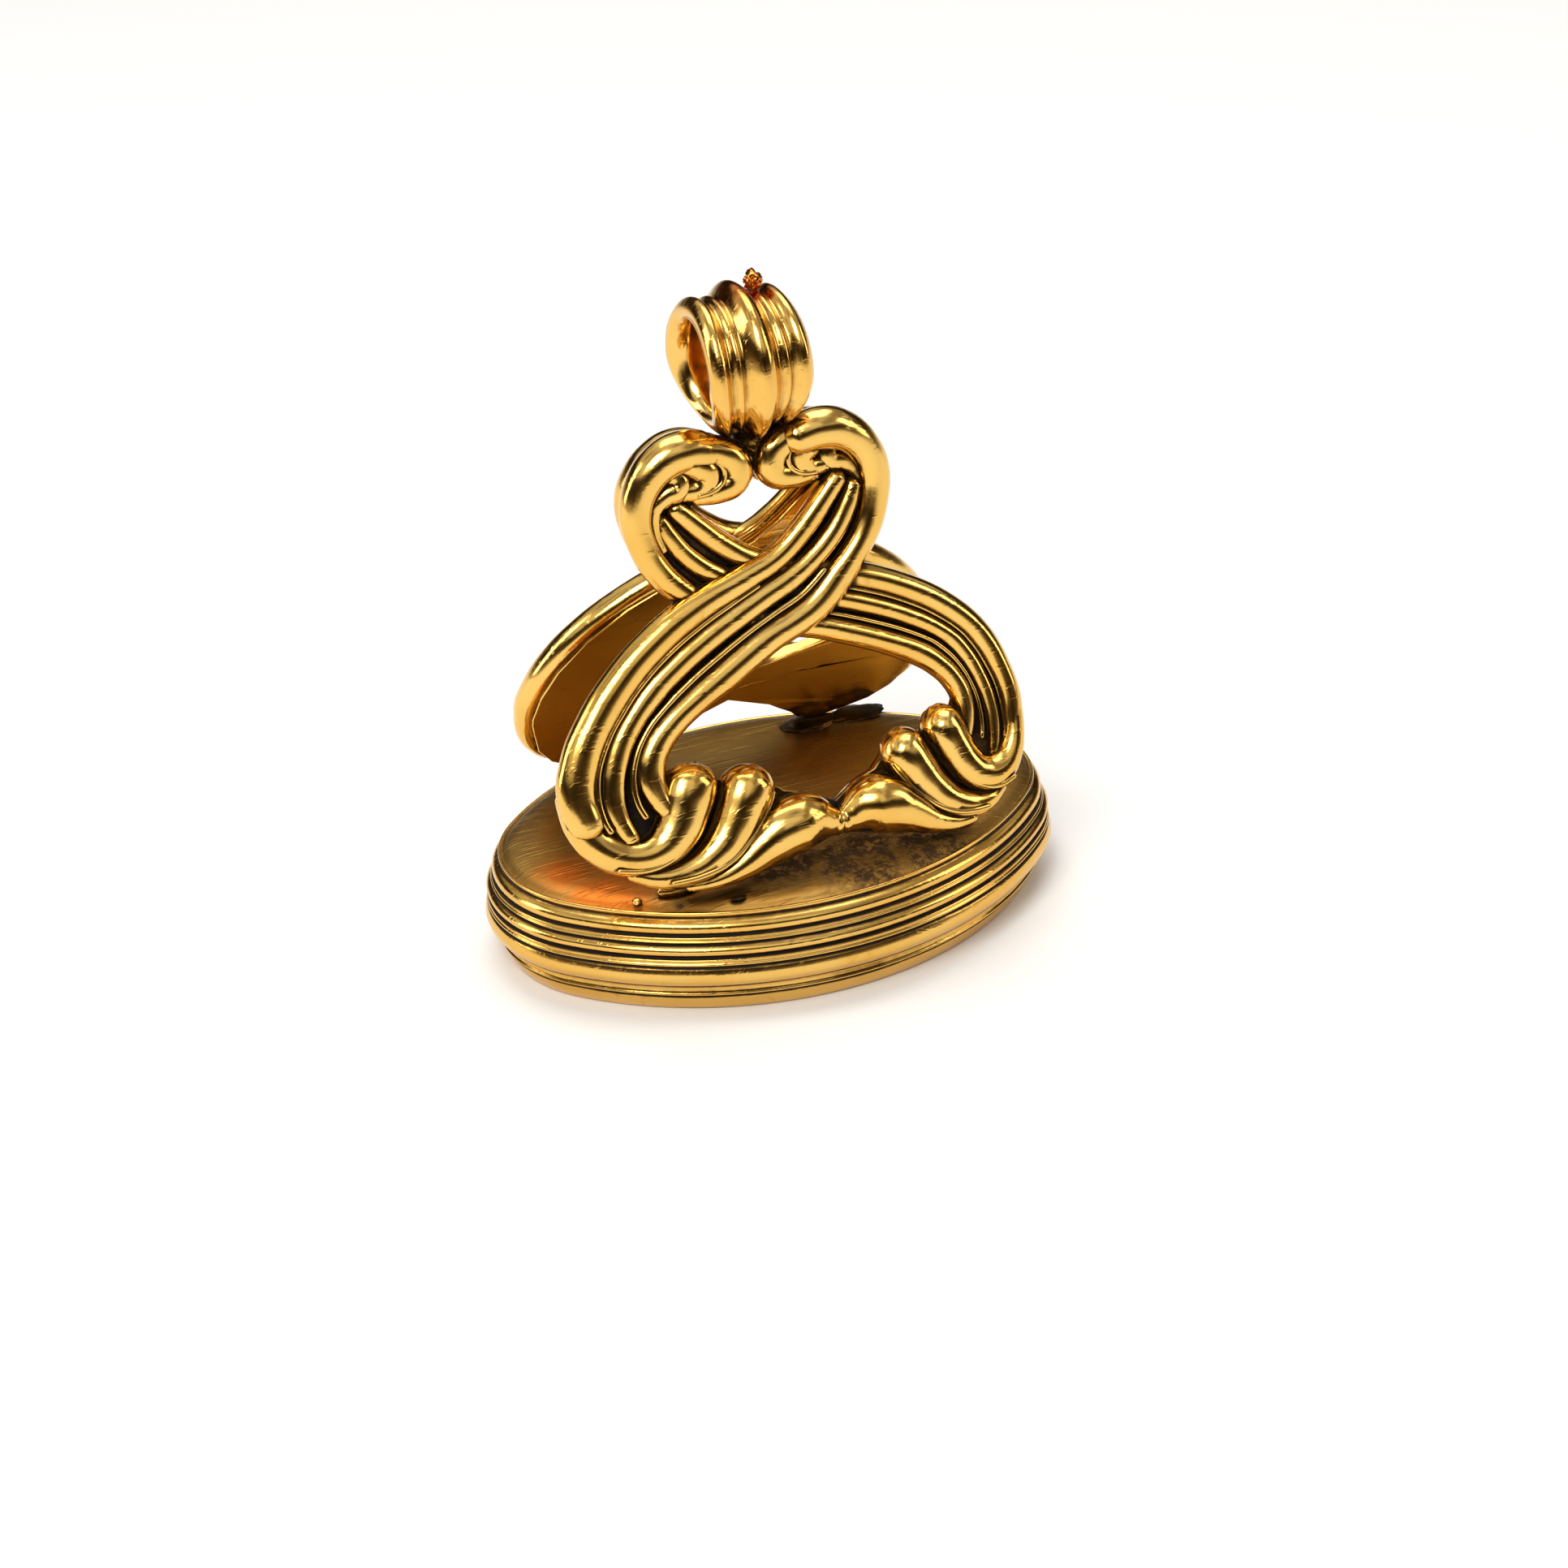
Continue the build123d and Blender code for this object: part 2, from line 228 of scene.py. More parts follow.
# Outlines of the flat web behind a scroll and its lobes.
WEB_SCROLL = [
    (-0.930, 0.220), (-0.900, 0.150), (-0.830, 0.095), (-0.730, 0.058), (-0.610, 0.040),
    (-0.450, 0.024), (-0.280, 0.034), (-0.150, 0.050), (0.020, 0.076), (0.020, 0.130),
    (-0.100, 0.168), (-0.200, 0.186), (-0.270, 0.220), (-0.330, 0.238), (-0.400, 0.234),
    (-0.470, 0.246), (-0.550, 0.268), (-0.620, 0.262), (-0.660, 0.300), (-0.900, 0.320),
    (-0.945, 0.260),
]
# The back plate's sheet also closes the gaps above its lobes.
BACK_SHEET = [(-0.930, 0.220), (-0.610, 0.060), (-0.280, 0.050), (0.020, 0.080), (0.020, 0.250),
              (-0.300, 0.300), (-0.620, 0.330), (-0.920, 0.340)]
CURL_CENTRE = (0.310, 0.918)
CURL_WEB_RADIUS, CURL_WEB_POINTS = 1.25, 48
# Levels are in millimetres from the plane of the feet: the web's back and front, then the
# centres of the strands of the strap that crosses over, and of the one that lies below.
BACK_BELOW, BACK_ABOVE = 0.3, 0.35
OVER_LEVEL, UNDER_LEVEL = 0.70, 0.35
LINE_RISE, CURL_LOBE_RISE, FINE_RISE = 0.28, 0.12, 0.55
# Strands end inside the web's back, each at a level of its own.
BACK_MARGIN, BACK_STEP = 0.02, 0.004
# How finely a strand is rounded.
REED_SIDES, LOBE_SIDES, LINE_SIDES = 5, 7, 2
# Lines beside the middle reed end at this share of the height.
LINE_RADIUS, LINE_END = 0.12, 0.68
FINE_SWELL = [0.10, 0.12, 0.13, 0.13, 0.12, 0.10]
# Radii of the reeds along the strap, from the scroll's foot to the curl.
OUTER_SWELL = [0.60, 0.66, 0.68, 0.68, 0.66, 0.64, 0.62, 0.58, 0.54, 0.52, 0.50, 0.44]
MIDDLE_SWELL = [0.34, 0.42, 0.47, 0.49, 0.50, 0.51, 0.52, 0.53, 0.53, 0.52, 0.51, 0.50, 0.48, 0.45,
                0.38]
INNER_SWELL = [0.40, 0.50, 0.55, 0.57, 0.58, 0.59, 0.60, 0.60, 0.60, 0.60, 0.60, 0.60, 0.60, 0.61,
               0.62, 0.66, 0.74, 0.84, 0.88, 0.80]


def spots(points, side, level):
    """Points of a strand on the flat plate, mirrored when the side is -1."""
    return [(side * u * SCROLL_HALF_WIDTH, v * SCROLL_HEIGHT, level) for u, v in points]


def nearest_line(line, other):
    """For each point of a line, the middle between it and the nearest place on another line."""
    found = []
    for u, v in line:
        best = min(dense(other), key=lambda place: (place[0] - u) ** 2 + (place[1] - v) ** 2)
        found.append(((u + best[0]) / 2, (v + best[1]) / 2))
    return found


def dense(line, steps=8):
    """The line's points with more of them in between."""
    out = []
    for (a, b), (c, d) in zip(line, line[1:]):
        out += [(a + (c - a) * i / steps, b + (d - b) * i / steps) for i in range(steps)]
    return out + [line[-1]]


def scroll_plate(sheets):
    """One openwork plate, laid flat with its front up, on a web of the given sheets."""
    bm = bmesh.new()
    strap = REED_OUTER + REED_INNER[:STRAP_POINTS][::-1]
    lines = [[spot for spot in nearest_line(REED_MIDDLE, reed) if spot[1] < LINE_END]
             for reed in (REED_OUTER, REED_INNER)]
    strands = []
    for side, level in ((1, OVER_LEVEL), (-1, UNDER_LEVEL)):
        for outline in sheets + [strap]:
            slab(bm, spots(outline, side, 0), -BACK_BELOW, BACK_ABOVE)
        x, along, _ = spots([CURL_CENTRE], side, 0)[0]
        angles = [2 * pi * i / CURL_WEB_POINTS for i in range(CURL_WEB_POINTS)]
        ring = [(x + CURL_WEB_RADIUS * cos(angle), along + CURL_WEB_RADIUS * sin(angle))
                for angle in angles]
        slab(bm, ring, -BACK_BELOW, BACK_ABOVE)
        strands += [(REED_OUTER, side, level, OUTER_SWELL, REED_SIDES),
                    (REED_MIDDLE, side, level, MIDDLE_SWELL, REED_SIDES),
                    (REED_INNER, side, level, INNER_SWELL, REED_SIDES)]
        strands += [(line, side, level + LINE_RISE, [LINE_RADIUS] * len(line), LINE_SIDES)
                    for line in lines]
        strands += [(points, side, UNDER_LEVEL, [LOBE_RADIUS * s for s in shares], LOBE_SIDES)
                    for points, shares in LOWER_LOBES]
        strands += [(points, side, UNDER_LEVEL + CURL_LOBE_RISE,
                     [CURL_LOBE_RADIUS * s for s in shares], LOBE_SIDES)
                    for points, shares in UPPER_LOBES]
        strands += [(line, side, UNDER_LEVEL + FINE_RISE, FINE_SWELL, LINE_SIDES)
                    for line in CURL_LINES + LOBE_LINES]
    for count, (points, side, level, swell, sides) in enumerate(strands):
        behind = BACK_MARGIN + BACK_STEP * count - BACK_BELOW
        strand(bm, spots(points, side, level), swell[:len(points)], behind, sides)
    return bm


def place_plate(bm, turn, shift, sway, size, arch):
    """Stands the flat plate up, bent so that it is steeper above.  A half turn makes the back
    one.  The sway moves the middle of its lower half sideways, and the arch lifts the middle of
    its lower edge.  The lowest lobes end about 0.2 mm clear of the base."""
    rate = (FOOT_LEAN - TOP_LEAN) / SCROLL_HEIGHT
    for vertex in bm.verts:
        x, along, out = vertex.co
        middle = max(0.0, 1 - (x / SCROLL_HALF_WIDTH) ** 2)
        fade = min(1.0, max(0.0, (SWAY_END - along / SCROLL_HEIGHT) / SWAY_FADE))
        lift = arch * max(0.0, 1 - (x / ARCH_HALF_WIDTH) ** 2) * max(0.0, 1 - along / ARCH_FADE)
        x = (x + sway * middle * fade) * size + shift
        along = (along + lift) * size
        lean = FOOT_LEAN - rate * along
        y = -foot_y + (cos(lean) - cos(FOOT_LEAN)) / rate - out * cos(lean)
        z = BASE_HEIGHT + (sin(FOOT_LEAN) - sin(lean)) / rate + out * sin(lean)
        vertex.co = (x, y, z)
    bm.transform(Matrix.Rotation(turn, 4, "Z"))


def arc(start, end, bulge, steps):
    """Points from start up to, but without, end on a shallow arc.  A bulge above 0 lies to the
    right of the way from start to end."""
    chord = Vector(end) - Vector(start)
    out = Vector((chord.y, -chord.x)).normalized() * bulge
    return [tuple(Vector(start) + chord * (i / steps) + out * sin(pi * i / steps))
            for i in range(steps)]


def rim_profile():
    """The rim from the middle of the top, down and under to the stone's seat, as pairs of the
    distance in from the widest reed and the height."""
    h = BASE_HEIGHT
    pts = [(CAP_INSET, h), (2.6, h - 0.01), (1.7, h - 0.05), (1.25, h - 0.13), (1.02, h - 0.24),
           (0.90, h - 0.33)]
    # Reeds and beads swell outwards, the grooves and the cove between them inwards.
    runs = [
        ((TOP_EDGE_INSET, h - TOP_EDGE_FALL), (0.70, h - 0.40), 0.07, 5),
        ((0.75, h - 0.48), (0.75, h - 0.60), -0.02, 3),
        ((0.70, h - 0.62), (0.44, h - 1.12), 0.13, 8),
        ((0.52, h - 1.15), (0.52, h - 1.20), -0.01, 2),
        ((0.44, h - 1.21), (0.40, h - 1.34), 0.06, 5),
        ((0.40, h - 1.35), (0.36, h - 1.48), 0.06, 5),
        ((0.42, h - 1.50), (0.42, h - 1.53), -0.01, 2),
        ((0.34, h - 1.54), (0.20, h - 2.00), 0.14, 8),
        ((0.30, h - 2.03), (0.30, h - 2.08), -0.01, 2),
        ((0.21, h - 2.09), (0.17, h - 2.24), 0.06, 5),
        ((0.17, h - 2.25), (0.14, h - 2.42), 0.06, 5),
        ((0.21, h - 2.44), (0.21, h - 2.47), -0.01, 2),
        ((0.13, h - 2.48), (0.22, h - 3.36), 0.17, 9),
        ((0.26, h - 3.40), (0.54, h - 3.78), -0.10, 5),
        ((0.53, h - 3.82), (0.53, h - 3.98), 0.07, 5),
        ((0.60, h - 4.00), (0.60, h - 4.04), -0.01, 2),
        ((0.58, h - 4.05), (0.90, 0.04), 0.05, 6),
    ]
    for start, end, bulge, steps in runs:
        pts += [(-p[0], p[1]) for p in arc((-start[0], start[1]), (-end[0], end[1]), -bulge, steps)]
    mouth = BEZEL_OUTSET + BEZEL_WIDTH
    pts += [(0.90, 0.04), (BEZEL_OUTSET + 0.03, 0.0), (mouth - 0.05, 0.0), (mouth, 0.05),
            (mouth, STONE_SEAT), (CAP_INSET, STONE_SEAT)]
    return pts


def edge_distance(x, y):
    """How far a point of the top lies inside the oval's outline."""
    x, y = abs(x), abs(y)
    if side_drop * (x - end_reach) > end_reach * y:
        return BASE_END_RADIUS - ((x - end_reach) ** 2 + y ** 2) ** 0.5
    return side_radius - (x ** 2 + (y + side_drop) ** 2) ** 0.5


def base_mesh():
    """Spins the rim's profile round the four arcs of the oval, and closes top and socket."""
    bm = bmesh.new()
    angle = atan2(side_drop, end_reach)
    start = Matrix.Translation((end_reach, 0, 0)) @ Matrix.Rotation(-angle, 4, "Z")
    line = [bm.verts.new(start @ Vector((BASE_END_RADIUS - inset, 0, z)))
            for inset, z in rim_profile()]
    geom = line + [bm.edges.new(pair) for pair in zip(line, line[1:])]
    sweep = pi - 2 * angle
    turns = (((end_reach, 0, 0), 2 * angle, 48), ((0, -side_drop, 0), sweep, 64),
             ((-end_reach, 0, 0), 2 * angle, 48), ((0, side_drop, 0), sweep, 64))
    for centre, turn, steps in turns:
        made = bmesh.ops.spin(bm, geom=geom, cent=centre, axis=(0, 0, 1), angle=turn, steps=steps)
        geom = made["geom_last"]
    bmesh.ops.remove_doubles(bm, verts=bm.verts, dist=0.0005)
    bmesh.ops.holes_fill(bm, edges=[edge for edge in bm.edges if edge.is_boundary], sides=0)
    bmesh.ops.recalc_face_normals(bm, faces=bm.faces)
    return bm


def bail_profile():
    """Section of the bail, as pairs of x and radius: a wide ridge in the middle, and a fine and
    a broad one on each side."""
    w, r = BAIL_WIDTH / 2, BAIL_OUTER_RADIUS
    runs = [
        ((-w, r - 0.72), (-w * 0.62, r - 0.62), 0.30, 9),
        ((-w * 0.60, r - 0.66), (-w * 0.57, r - 0.66), 0.0, 1),
        ((-w * 0.55, r - 0.60), (-w * 0.38, r - 0.54), 0.12, 5),
        ((-w * 0.36, r - 0.60), (-w * 0.34, r - 0.60), 0.0, 1),
        ((-w * 0.32, r - 0.52), (w * 0.32, r - 0.52), 0.52, 14),
        ((w * 0.34, r - 0.60), (w * 0.36, r - 0.60), 0.0, 1),
        ((w * 0.38, r - 0.54), (w * 0.55, r - 0.60), 0.12, 5),
        ((w * 0.57, r - 0.66), (w * 0.60, r - 0.66), 0.0, 1),
        ((w * 0.62, r - 0.62), (w, r - 0.72), 0.30, 9),
    ]
    pts = []
    for start, end, bulge, steps in runs:
        pts += arc(start, end, -bulge, steps)
    pts.append((w, r - 0.72))
    inner = [(w * 0.98, BAIL_BORE_RADIUS + 0.16), (w * 0.6, BAIL_BORE_RADIUS + 0.03),
             (0, BAIL_BORE_RADIUS)]
    pts += inner + [(-x, y) for x, y in inner[-2::-1]]
    return pts


def bail_mesh():
    """Spins the section about the hole, then narrows it towards the foot and the top."""
    bm = bmesh.new()
    ring = [bm.verts.new((x, 0, -r)) for x, r in bail_profile()]
    edges = [bm.edges.new((ring[i], ring[(i + 1) % len(ring)])) for i in range(len(ring))]
    bmesh.ops.spin(bm, geom=ring + edges, cent=(0, 0, 0), axis=(1, 0, 0), angle=2 * pi, steps=120,
                   use_merge=True)
    for vertex in bm.verts:
        rise = vertex.co.z / BAIL_OUTER_RADIUS
        vertex.co.x *= (1.0 - BAIL_FOOT_TAPER * max(0, -rise) ** BAIL_FOOT_POWER
                        - BAIL_TOP_TAPER * max(0, rise) ** BAIL_TOP_POWER)
    bmesh.ops.recalc_face_normals(bm, faces=bm.faces)
    bmesh.ops.translate(bm, vec=(-BAIL_OFFSET, 0, bail_centre_z), verts=bm.verts)
    return bm


def new_group(name, inputs, outputs):
    """Empty shader group with named sockets."""
    group = bpy.data.node_groups.new(name, "ShaderNodeTree")
    for label, kind, value in inputs:
        socket = group.interface.new_socket(label, in_out="INPUT", socket_type="NodeSocket" + kind)
        if value is not None:
            socket.default_value = value
    for label, kind in outputs:
        group.interface.new_socket(label, in_out="OUTPUT", socket_type="NodeSocket" + kind)
    return group, group.nodes.new("NodeGroupInput"), group.nodes.new("NodeGroupOutput")


def math_node(tree, kind, first, second, clamp=False):
    """Math node fed by links or numbers."""
    node = tree.nodes.new("ShaderNodeMath")
    node.operation = kind
    node.use_clamp = clamp
    for socket, value in zip(node.inputs, (first, second)):
        if isinstance(value, (int, float)):
            socket.default_value = value
        else:
            tree.links.new(value, socket)
    return node.outputs[0]


def mix_node(tree, factor, first, second, blend="MIX"):
    """Colour mix fed by links or colours."""
    node = tree.nodes.new("ShaderNodeMix")
    node.data_type = "RGBA"
    node.blend_type = blend
    # Sockets 0, 6 and 7 are the factor and the two colours.
    for socket, value in zip((node.inputs[i] for i in (0, 6, 7)), (factor, first, second)):
        if isinstance(value, (int, float)):
            socket.default_value = value
        elif isinstance(value, tuple):
            socket.default_value = (*value, 1)
        else:
            tree.links.new(value, socket)
    return node.outputs[2]


def noise_node(tree, vector, scale, detail, rough):
    """Noise on the given coordinates."""
    node = tree.nodes.new("ShaderNodeTexNoise")
    node.inputs["Scale"].default_value = scale
    node.inputs["Detail"].default_value = detail
    node.inputs["Roughness"].default_value = rough
    tree.links.new(vector, node.inputs["Vector"])
    return node.outputs["Fac"]


def ramp_node(tree, value, low, high):
    """Eased step from 0 at low to 1 at high."""
    node = tree.nodes.new("ShaderNodeMapRange")
    node.interpolation_type = "SMOOTHSTEP"
    node.inputs["From Min"].default_value = low
    node.inputs["From Max"].default_value = high
    tree.links.new(value, node.inputs["Value"])
    return node.outputs["Result"]


# Painted shade and residue in the hollows: brown where the metal is a little shut in, black where
# deeply.
BROWN_SHADE_AND_RESIDUE, BLACK_SHADE_AND_RESIDUE = (0.16, 0.075, 0.012), (0.012, 0.008, 0.005)
RUST_TINT, SOOT_TINT = (0.55, 0.14, 0.015), (0.045, 0.022, 0.007)
# Scratches run at these angles, each set with its own stretch.
SCRATCH_SETS = ((0.3, 26.0), (1.5, 20.0), (2.5, 30.0))
SCRATCH_SCALE, SCRATCH_DEPTH_SCALE = 260.0, 2600.0


def shade_and_residue_group():
    """Painted shade in the hollows, with residue, brown at its edges and black where it lies deep."""
    group, ins, outs = new_group(
        "hollow_shade_and_residue", [("Colour", "Color", None), ("Hollow", "Float", 0.0), ("Amount", "Float", 1.0),
                  ("Position", "Vector", None)],
        [("Colour", "Color"), ("Mask", "Float")])
    speckle = noise_node(group, ins.outputs["Position"], 1900.0, 6.0, 0.7)
    cloud = noise_node(group, ins.outputs["Position"], 420.0, 4.0, 0.6)
    uneven = math_node(group, "ADD", math_node(group, "MULTIPLY", speckle, 0.9), cloud)
    deep = math_node(group, "MULTIPLY", ins.outputs["Hollow"], uneven)
    deep = math_node(group, "MULTIPLY", deep, ins.outputs["Amount"])
    brown = ramp_node(group, deep, 0.20, 0.62)
    black = ramp_node(group, deep, 0.50, 0.95)
    colour = mix_node(group, brown, ins.outputs["Colour"], BROWN_SHADE_AND_RESIDUE)
    colour = mix_node(group, black, colour, BLACK_SHADE_AND_RESIDUE)
    group.links.new(colour, outs.inputs["Colour"])
    group.links.new(black, outs.inputs["Mask"])
    return group


def scratch_group():
    """Fine scratches in three directions, as a height."""
    group, ins, outs = new_group(
        "scratches", [("Position", "Vector", None), ("Amount", "Float", 1.0)], [("Height", "Float")])
    total = None
    for turn, stretch in SCRATCH_SETS:
        place = group.nodes.new("ShaderNodeMapping")
        place.inputs["Rotation"].default_value = (0.2, 0.1, turn)
        place.inputs["Scale"].default_value = (
            SCRATCH_SCALE, SCRATCH_SCALE * stretch, SCRATCH_DEPTH_SCALE)
        group.links.new(ins.outputs["Position"], place.inputs["Vector"])
        line = noise_node(group, place.outputs["Vector"], 1.0, 2.0, 0.5)
        line = ramp_node(group, line, 0.62, 0.72)
        total = line if total is None else math_node(group, "ADD", total, line)
    height = math_node(group, "MULTIPLY", total, ins.outputs["Amount"])
    group.links.new(height, outs.inputs["Height"])
    return group


def patch_node(tree, place, spots_mm, breakup=0.6):
    """Uneven stains round the given places, each a centre and a reach in millimetres."""
    ragged = noise_node(tree, place, 700.0, 5.0, 0.65)
    total = None
    for centre, reach in spots_mm:
        gap = tree.nodes.new("ShaderNodeVectorMath")
        gap.operation = "DISTANCE"
        tree.links.new(place, gap.inputs[0])
        gap.inputs[1].default_value = [c * MM for c in centre]
        far = math_node(tree, "MULTIPLY", gap.outputs["Value"], 1 / (reach * MM))
        edge = math_node(tree, "ADD", far, math_node(tree, "MULTIPLY", ragged, breakup))
        stain = math_node(tree, "SUBTRACT", 1.0, ramp_node(tree, edge, 0.55, 1.25))
        total = stain if total is None else math_node(tree, "MAXIMUM", total, stain)
    return total


def gold_material(name, colour, roughness, scratch, amount, matte=0.0, rust=(), soot=()):
    """Worn gold: its colour drifts, its hollows hold painted shade and residue, and it is finely
    scratched.  The amount is that of the painted shade and residue, and matte adds grain."""
    material = bpy.data.materials.new(name)
    material.use_nodes = True
    tree = material.node_tree
    shader = tree.nodes["Principled BSDF"]
    place = tree.nodes.new("ShaderNodeTexCoord").outputs["Object"]
    hollow = tree.nodes.new("ShaderNodeAttribute")
    hollow.attribute_name = "hollow"
    drift = noise_node(tree, place, 190.0, 3.0, 0.5)
    fine = noise_node(tree, place, 1100.0, 5.0, 0.6)
    warm = mix_node(tree, ramp_node(tree, drift, 0.38, 0.66), colour,
                    (colour[0] * 0.95, colour[1] * 0.88, colour[2] * 0.72))
    warm = mix_node(tree, ramp_node(tree, fine, 0.60, 0.80), warm,
                    (colour[0] * 0.72, colour[1] * 0.58, colour[2] * 0.40))
    # Painted shade and residue: darker where nearby metal closes more of the sky.
    shade_and_residue = tree.nodes.new("ShaderNodeGroup")
    shade_and_residue.node_tree = HOLLOW_SHADE_AND_RESIDUE
    shade_and_residue.inputs["Amount"].default_value = amount
    tree.links.new(warm, shade_and_residue.inputs["Colour"])
    tree.links.new(hollow.outputs["Fac"], shade_and_residue.inputs["Hollow"])
    tree.links.new(place, shade_and_residue.inputs["Position"])
    shade = shade_and_residue.outputs["Colour"]
    dull = shade_and_residue.outputs["Mask"]
    if rust:
        stain = patch_node(tree, place, rust)
        shade = mix_node(tree, math_node(tree, "MULTIPLY", stain, 0.85), shade, RUST_TINT)
    if soot:
        stain = patch_node(tree, place, soot, 0.55)
        speck = ramp_node(tree, noise_node(tree, place, 2200.0, 6.0, 0.75), 0.36, 0.58)
        stain = math_node(tree, "MULTIPLY", stain, math_node(tree, "ADD", 0.25, speck), clamp=True)
        shade = mix_node(tree, stain, shade, SOOT_TINT)
        dull = math_node(tree, "MAXIMUM", dull, stain)
    shader.inputs["Specular IOR Level"].default_value = 0.15
    tree.links.new(shade, shader.inputs["Base Color"])
    metal = math_node(tree, "SUBTRACT", 1.0, math_node(tree, "MULTIPLY", dull, 0.85))
    tree.links.new(metal, shader.inputs["Metallic"])
    rough = math_node(tree, "ADD", math_node(tree, "MULTIPLY", fine, 0.14), roughness - 0.07)
    rough = math_node(tree, "ADD", rough, math_node(tree, "MULTIPLY", dull, 0.4), clamp=True)
    tree.links.new(rough, shader.inputs["Roughness"])
    scratches = tree.nodes.new("ShaderNodeGroup")
    scratches.node_tree = SCRATCHES
    scratches.inputs["Amount"].default_value = scratch
    tree.links.new(place, scratches.inputs["Position"])
    grain = noise_node(tree, place, 1500.0, 6.0, 0.65)
    height = math_node(tree, "ADD", math_node(tree, "MULTIPLY", grain, 0.5 + matte),
                       scratches.outputs["Height"])
    bump = tree.nodes.new("ShaderNodeBump")
    bump.inputs["Strength"].default_value = 0.25
    bump.inputs["Distance"].default_value = 0.00004
    tree.links.new(height, bump.inputs["Height"])
    tree.links.new(bump.outputs["Normal"], shader.inputs["Normal"])
    return material


HOLLOW_SHADE_AND_RESIDUE = shade_and_residue_group()
SCRATCHES = scratch_group()
loop_top = (0, 0, bail_centre_z + BAIL_OUTER_RADIUS)
crossing_top = (0, 0, plate_top_z - 0.4)
gilt = gold_material("gilt", (0.80, 0.51, 0.135), 0.15, 0.3, 1.3,
                     rust=[((-3.6, -5.2, 11.5), 1.6)], soot=[(crossing_top, 1.5)])
gilt_loop = gold_material("gilt_loop", (0.80, 0.50, 0.14), 0.14, 0.3, 1.1,
                          rust=[(loop_top, 2.0)], soot=[((0, -0.6, plate_top_z + 0.1), 1.1)])
gilt_rim = gold_material("gilt_rim", (0.76, 0.47, 0.12), 0.17, 0.3, 1.6)
# The top plate is dull: reddish at its left end, and sooty along the feet of the plates.
gilt_flat = gold_material(
    "gilt_flat", (0.36, 0.205, 0.05), 0.38, 1.6, 0.9, 0.8,
    rust=[((-8.8, -4.3, BASE_HEIGHT), 2.6), ((-9.6, -1.8, BASE_HEIGHT), 1.8)],
    soot=[((-1.6, -5.0, BASE_HEIGHT), 2.8), ((1.4, -6.0, BASE_HEIGHT), 3.2),
          ((4.4, -6.3, BASE_HEIGHT), 2.8), ((-6.3, -6.1, BASE_HEIGHT), 0.5),
          ((5.4, 6.2, BASE_HEIGHT), 2.2), ((-5.6, 6.4, BASE_HEIGHT), 1.6)])
solder_grey = gold_material("solder_grey", (0.035, 0.022, 0.012), 0.45, 0.4, 1.3, 1.0)


def stone_material():
    """Plain dark red-brown hard stone."""
    material = bpy.data.materials.new("stone")
    material.use_nodes = True
    tree = material.node_tree
    shader = tree.nodes["Principled BSDF"]
    place = tree.nodes.new("ShaderNodeTexCoord").outputs["Object"]
    cloud = noise_node(tree, place, 120.0, 6.0, 0.6)
    colour = mix_node(tree, ramp_node(tree, cloud, 0.35, 0.7), (0.16, 0.035, 0.016), (0.32, 0.085, 0.03))
    tree.links.new(colour, shader.inputs["Base Color"])
    rough = math_node(tree, "ADD", math_node(tree, "MULTIPLY", cloud, 0.12), 0.06)
    tree.links.new(rough, shader.inputs["Roughness"])
    return material


front = scroll_plate([WEB_SCROLL])
back = scroll_plate([WEB_SCROLL, BACK_SHEET])
place_plate(front, 0, FRONT_SHIFT, FRONT_SWAY, 1.0, 0.0)
place_plate(back, pi, BACK_SHIFT, 0.0, BACK_SIZE, BACK_ARCH)
front_scroll = add_piece("front_scroll", front, gilt)
back_scroll = add_piece("back_scroll", back, gilt)

base = add_piece("base", base_mesh(), gilt_rim)
base.data.materials.append(gilt_flat)
for face in base.data.polygons:
    centre = face.center / MM
    inset = edge_distance(centre.x, centre.y)
    if centre.z > BASE_HEIGHT - TOP_EDGE_FALL and inset > TOP_EDGE_INSET:
        face.material_index = 1

bail = add_piece("bail", bail_mesh(), gilt_loop)
# Drops of metal: centre, radius, seed, unevenness, and stretch along x, y and z.
KNOB = ((0.55, 0.35, bail_centre_z + BAIL_OUTER_RADIUS - 0.12), 0.34, 8.0, 0.5, (1, 1, 1))
# Solder where the curls meet the bail, behind the front feet, and one bead on the top plate.
SOLDER_DROPS = [
    ((0, -0.5, plate_top_z - 0.75), 0.95, 2.5, 0.2, (1, 1, 0.8)),
    ((0, 0.5, plate_top_z - 0.75), 0.95, 3.5, 0.2, (1, 1, 0.8)),
    ((-6.0, -foot_y + 0.95, BASE_HEIGHT + 0.1), 0.6, 1.0, 0.08, (1.5, 0.6, 0.6)),
    ((6.0, -foot_y + 0.95, BASE_HEIGHT + 0.1), 0.6, 7.0, 0.08, (1.5, 0.6, 0.6)),
    ((-7.75, -5.15, BASE_HEIGHT - 0.06), 0.2, 9.0, 0.1, (1.0, 1.0, 0.7)),
]
# Dark streaks: a short one in front of the front plate, two along a foot of the back one.
SPILL_DROPS = [
    ((-4.1, -6.75, BASE_HEIGHT), 0.2, 2.0, 0.2, (1.7, 0.9, 0.22)),
    ((4.2, foot_y - 0.5, BASE_HEIGHT), 0.8, 5.0, 0.2, (1.7, 0.9, 0.22)),
    ((6.3, foot_y - 0.6, BASE_HEIGHT), 0.8, 6.0, 0.2, (1.7, 0.9, 0.22)),
]


def drops_piece(name, drops, material):
    """One piece of several drops of metal."""
    bm = bmesh.new()
    for drop in drops:
        lump(bm, *drop)
    return add_piece(name, bm, material)


knob = drops_piece("bail_lump", [KNOB], gilt_loop)
solder = drops_piece("solder", SOLDER_DROPS, gilt)
spill = drops_piece("solder_spill", SPILL_DROPS, solder_grey)

gilded = [front_scroll, back_scroll, base, bail, knob, solder, spill]
for piece in gilded:
    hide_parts("scroll_mount")

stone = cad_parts["seal_stone"]
stone.data.materials.clear()
stone.data.materials.append(stone_material())


